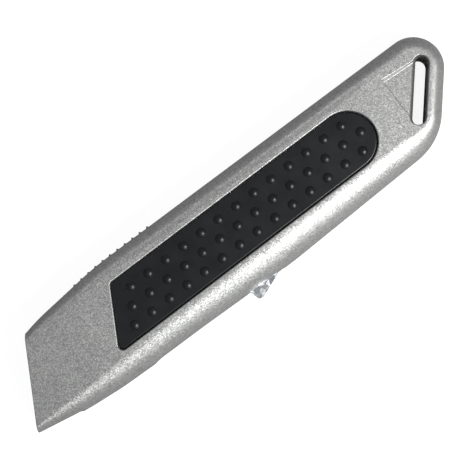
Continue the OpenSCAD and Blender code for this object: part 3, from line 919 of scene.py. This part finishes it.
# ---------------------------------------------------------------- Blade and its wear plates
# The trapezoid blade is ground carbon steel with a bright honed edge. It runs between two
# hardened plates that are pressed into the nose.


def ground_steel(name, tone, across, rough, depth=0.000006, soft_edge=0.00005):
    """Steel with fine lines from grinding, drawn out by the amounts in across on each axis."""
    finish, nodes, links, shader, place = blank_finish(name)
    stretch = nodes.new("ShaderNodeMapping")
    stretch.inputs["Scale"].default_value = across
    links.new(place, stretch.inputs["Vector"])
    lines = texture(nodes, links, stretch.outputs["Vector"], "Noise", 1000, Detail=4,
                    Roughness=0.7)
    stains = texture(nodes, links, place, "Noise", 160, Detail=5, Roughness=0.6)
    dark = tuple(0.82 * c for c in tone)
    light = tuple(min(1, 1.12 * c) for c in tone)
    shades(nodes, links, stains.outputs["Fac"], dark, light, shader.inputs["Base Color"])
    shader.inputs["Metallic"].default_value = 1
    spread(nodes, links, lines.outputs["Fac"], rough * 0.75, rough * 1.3,
           shader.inputs["Roughness"])
    relief_bump(nodes, links, shader, [(lines.outputs["Fac"], depth, 0.6)], soft_edge)
    return finish


def refinish(finish, slot, *nodes):
    """Gives pieces that keep their designed shape their real finish."""
    for node in nodes:
        piece = frame["nodes"][node]
        piece.data.materials.clear()
        piece.data.materials.append(finish)
        piece.data.shade_smooth()
        piece.data.set_sharp_from_angle(angle=math.radians(30))


blade_steel = ground_steel("blade_steel", (0.62, 0.63, 0.65), (6, 0.12, 1), 0.24)
plate_steel = ground_steel("hardened_steel", (0.36, 0.365, 0.38), (1, 0.2, 1), 0.34)
refinish(blade_steel, "blade_steel", "blade")
refinish(plate_steel, "hardened_steel", "left_blade_guide", "right_blade_guide")

# ---------------------------------------------------------------- Carriage
# The carrier and the clamp plate are bare zinc castings. A slotted screw holds the clamp over
# the blade, a nickel-plated magnet steadies the blade, and two rivets hold the slider's tab.


def bare_casting():
    """Cast zinc with a fine pebbled skin and lighter, duller patches."""
    finish, nodes, links, shader, place = blank_finish("bare_casting")
    pebbles = texture(nodes, links, place, "Voronoi", 1900)
    patches = texture(nodes, links, place, "Noise", 220, Detail=5, Roughness=0.6)
    shades(nodes, links, patches.outputs["Fac"], (0.36, 0.365, 0.375), (0.52, 0.525, 0.53),
           shader.inputs["Base Color"])
    shader.inputs["Metallic"].default_value = 0.9
    spread(nodes, links, patches.outputs["Fac"], 0.42, 0.58, shader.inputs["Roughness"])
    relief_bump(nodes, links, shader, [(pebbles.outputs["Distance"], 0.00003, 0.4)], 0.00012)
    return finish


def turned_steel(name, tone, rough):
    """Pins and rivets with faint marks around them from the lathe."""
    return ground_steel(name, tone, (0.2, 0.2, 5), rough, 0.000004, 0.00006)


pin_steel = turned_steel("pin_steel", (0.55, 0.56, 0.58), 0.25)
refinish(bare_casting(), "bare_casting", "blade_carrier", "blade_clamp")
refinish(turned_steel("magnet_plating", (0.60, 0.58, 0.54), 0.16), "magnet", "blade_magnet")
refinish(pin_steel, "pin_steel", "slider_rivets", "spring_post", "dowel_pins", "spring_anchor",
         "catch_pivot")

# ---------------------------------------------------------------- Screws
# Four button-head screws with hex sockets hold the shells together from the right side.
# They and the clamp screw are black-oxide steel, worn a little brighter on the heads.
head_r = 2.1
head_round = 0.55
dome_h = 0.7
shank = 2.2
thread_r = 1.2
thread_d = 0.22
thread_pitch = 0.5
socket_r = 0.9
socket_d = 1


def black_oxide():
    """Blackened steel, brighter in patches where it is worn."""
    finish, nodes, links, shader, place = blank_finish("black_oxide")
    wear = texture(nodes, links, place, "Noise", 700, Detail=6, Roughness=0.7)
    shades(nodes, links, wear.outputs["Fac"], (0.018, 0.018, 0.02), (0.09, 0.09, 0.095),
           shader.inputs["Base Color"])
    shader.inputs["Metallic"].default_value = 0.8
    spread(nodes, links, wear.outputs["Fac"], 0.28, 0.45, shader.inputs["Roughness"])
    relief_bump(nodes, links, shader, [(wear.outputs["Fac"], 0.00001, 0.4)], 0.00008)
    return finish


def shell_screw(spot, low, high):
    """A screw from its head at the lowest level up to its tip, with a rolled thread."""
    seat = low + head_h
    rings = [(low, head_r - head_round)]
    for a in (70, 50, 30, 10):
        rings.append((low + dome_h * (1 - math.sin(math.radians(a))),
                      head_r - head_round * (1 - math.cos(math.radians(a)))))
    rings += [(low + 0.75, head_r), (seat - 0.1, head_r), (seat, head_r - 0.1),
              (seat + 0.02, thread_r)]
    first = seat + shank
    turns = int((high - 0.6 - first) / thread_pitch)
    for k in range(turns):
        z = first + k * thread_pitch
        rings += [(z, thread_r), (z + thread_pitch / 2, thread_r - thread_d)]
    rings += [(high - 0.5, thread_r - 0.1), (high, thread_r - 0.45)]
    body = skin([level(circle(spot, r, 32), z) for z, r in rings])
    socket = skin([level(arc(Vector(spot[:2]), r, 0, 360, 6)[:-1], z)
                   for z, r in ((low - 1, socket_r), (low + socket_d, socket_r))])
    return combine(body, socket)


def screw_set():
    """The four screws, each in its own hole."""
    low, high = box_mm("shell_screws")
    joined = bmesh.new()
    for spot in spots("shell_screws"):
        one = work_object(shell_screw(spot, low.z, high.z))
        joined.from_mesh(one.data)
        bpy.data.meshes.remove(one.data)
    return joined


oxide = black_oxide()
refinish(oxide, "black_screw", "clamp_screw")
make_piece("button_head_screws", screw_set(), oxide, "housing", "black_screw", "shell_screws")

# ---------------------------------------------------------------- Springs
# The return spring is a close-wound tension spring of drawn wire with an eye at each end. It
# pulls the carriage back. A short compression spring under the catch keeps its nub out.
wire_d = 0.8
spring_d = 4.7
spring_turns = 22.5
eye_r = 1.75
eye_gap = 4.2


def wire_along(path, radius, around=12):
    """A round wire swept along a path, with its ends closed and slightly domed."""
    rings = []
    side_way = Vector((0, 0, 1))
    for i, p in enumerate(path):
        along = (path[min(i + 1, len(path) - 1)] - path[max(i - 1, 0)]).normalized()
        side_way = (side_way - along * side_way.dot(along)).normalized()
        other = along.cross(side_way)
        ends = min(i, len(path) - 1 - i)
        r = radius * (0.6 if ends == 0 else 1)
        rings.append([p + r * (math.cos(a) * side_way + math.sin(a) * other)
                      for a in (2 * math.pi * k / around for k in range(around))])
    return skin(rings)


def return_spring_mesh():
    """The front eye, the coil and the rear eye, bent from one wire."""
    post = spots("spring_post")[0]
    anchor = spots("spring_anchor")[0]
    coil_r = (spring_d - wire_d) / 2
    first, last = post.x + eye_gap, anchor.x - eye_gap
    steps = 20
    eye = [math.radians(a) for a in range(-150, 151, 10)]
    path = [Vector((post.x - eye_r * math.cos(a), post.y + eye_r * math.sin(a), seam + 1))
            for a in eye]
    count = int(spring_turns * steps)
    for i in range(count + 1):
        a = 2 * math.pi * i / steps
        path.append(Vector((first + (last - first) * i / count, post.y + coil_r * math.cos(a),
                            seam + coil_r * math.sin(a))))
    path += [Vector((anchor.x + eye_r * math.cos(a), anchor.y + eye_r * math.sin(a), seam + 1))
             for a in eye]
    return wire_along(path, wire_d / 2)


def catch_spring_mesh():
    """A short coil between the belly wall and the catch."""
    low, high = box_mm("catch_spring")
    wire_r = 0.2
    coil_r = (high.x - low.x) / 2 - wire_r
    turns, steps = 3.5, 24
    count = int(turns * steps)
    path = []
    for i in range(count + 1):
        a = 2 * math.pi * i / steps
        path.append(Vector(((low.x + high.x) / 2 + coil_r * math.cos(a),
                            low.y + wire_r + (high.y - low.y - 2 * wire_r) * i / count,
                            seam + coil_r * math.sin(a))))
    return wire_along(path, wire_r, 10)


spring_steel = ground_steel("spring_steel", (0.33, 0.335, 0.35), (1, 1, 1), 0.3, 0.000003, 0)
spring = make_piece("tension_spring", return_spring_mesh(), spring_steel, None, "spring_steel",
                    "return_spring", sharp=60)
post_end = body_to_row @ (spots("spring_post")[0] + Vector((eye_gap, 0, 0)))
anchor_end = body_to_row @ (spots("spring_anchor")[0] - Vector((eye_gap, 0, 0)))
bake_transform(spring)
push = make_piece("catch_push_spring", catch_spring_mesh(), spring_steel, "housing", "spring_steel",
                  "catch_spring", sharp=60)
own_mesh(push)

# ---------------------------------------------------------------- Release catch
# A rocker of polished steel on its own pin. Its nub stands out of the belly, and the hook at
# its other end holds the carriage forward until the nub is pressed.


def polished_steel():
    """Bright steel that has been tumbled, so its polish is a little uneven."""
    finish, nodes, links, shader, place = blank_finish("polished_steel")
    marks = texture(nodes, links, place, "Noise", 900, Detail=5, Roughness=0.65)
    dents = texture(nodes, links, place, "Voronoi", 700)
    shades(nodes, links, marks.outputs["Fac"], (0.72, 0.75, 0.79), (0.90, 0.93, 0.96),
           shader.inputs["Base Color"])
    shader.inputs["Metallic"].default_value = 1
    spread(nodes, links, marks.outputs["Fac"], 0.22, 0.4, shader.inputs["Roughness"])
    relief_bump(nodes, links, shader, [(marks.outputs["Fac"], 0.00002, 0.3)],
                start=tilted(nodes, links, dents.outputs["Color"], 0.28))
    return finish


refinish(polished_steel(), "polished_steel", "release_catch")

# ---------------------------------------------------------------- Bumpers
# Two black rubber blocks take the blows of the carriage: one behind the nose and one in
# front of a rib at the tail end of its travel.
refinish(rubber, "black_rubber", "front_bumper", "rear_bumper")

# ---------------------------------------------------------------- Table, lights and camera
# The knife lies on its right side on a pale table under large soft lights. The strongest
# light comes from the belly's side, and the spine's side is the darker one.
bottom = cad_bounds[0][2]


def table():
    """Pale table. It is bright to look at, and lights the knife itself only a little."""
    finish, nodes, links, shader, place = blank_finish("pale_table")
    grain = texture(nodes, links, place, "Noise", 900, Detail=3, Roughness=0.5)
    shades(nodes, links, grain.outputs["Fac"], (0.38, 0.38, 0.38), (0.42, 0.42, 0.42),
           shader.inputs["Base Color"])
    shader.inputs["Roughness"].default_value = 0.8
    shader.inputs["Emission Color"].default_value = (1, 1, 1, 1)
    seen = nodes.new("ShaderNodeLightPath")
    glow = nodes.new("ShaderNodeMath")
    glow.operation = "MULTIPLY"
    glow.inputs[1].default_value = 0.9
    links.new(seen.outputs["Is Camera Ray"], glow.inputs[0])
    links.new(glow.outputs["Value"], shader.inputs["Emission Strength"])
    reach = 2.5
    mesh = bmesh.new()
    bmesh.ops.create_grid(mesh, x_segments=4, y_segments=4, size=reach)
    data = bpy.data.meshes.new("table")
    mesh.to_mesh(data)
    mesh.free()
    data.materials.append(finish)
    top = bpy.data.objects.new("table", data)
    top.location = (0, 0, bottom)
    bpy.context.scene.collection.objects.link(top)


def soft_light(name, spot, size, power):
    """A square soft box that faces the middle of the knife."""
    lamp = bpy.data.lights.new(name, "AREA")
    lamp.shape = "SQUARE"
    lamp.size = size
    lamp.energy = power
    holder = bpy.data.objects.new(name, lamp)
    holder.location = spot
    holder.rotation_euler = Vector(spot).to_track_quat("Z", "Y").to_euler()
    bpy.context.scene.collection.objects.link(holder)


table()
soft_light("belly_light", (0.12, -0.61, 0.50), 0.5, 1.62)
soft_light("shoulder_light", (0.10, -0.16, 0.26), 0.10, 0.66)

# Even light from all round
world = bpy.data.worlds.new("studio")
world.use_nodes = True
world.node_tree.nodes["Background"].inputs["Color"].default_value = (0.97, 0.985, 1, 1)
world.node_tree.nodes["Background"].inputs["Strength"].default_value = 0.26
bpy.context.scene.world = world
bpy.context.scene.view_settings.view_transform = "Standard"

# The camera looks almost straight down, with the knife's nose to the lower left
aim = Vector((0.0002, 0.0008, 0.0085))
camera_spot = Vector((0.0026, -0.0215, 0.588))
picture_up = Vector((0.606, 0.795, 0))
seen_width = 0.1316

camera = bpy.data.cameras.new("camera")
camera.sensor_width = 36
camera.lens = camera.sensor_width * (camera_spot - aim).length / seen_width
holder = bpy.data.objects.new("camera", camera)
forward = (aim - camera_spot).normalized()
right = forward.cross(picture_up).normalized()
up = right.cross(forward)
turn = Matrix((right, up, -forward)).transposed().to_4x4()
holder.matrix_world = Matrix.Translation(camera_spot) @ turn
bpy.context.scene.collection.objects.link(holder)
bpy.context.scene.camera = holder
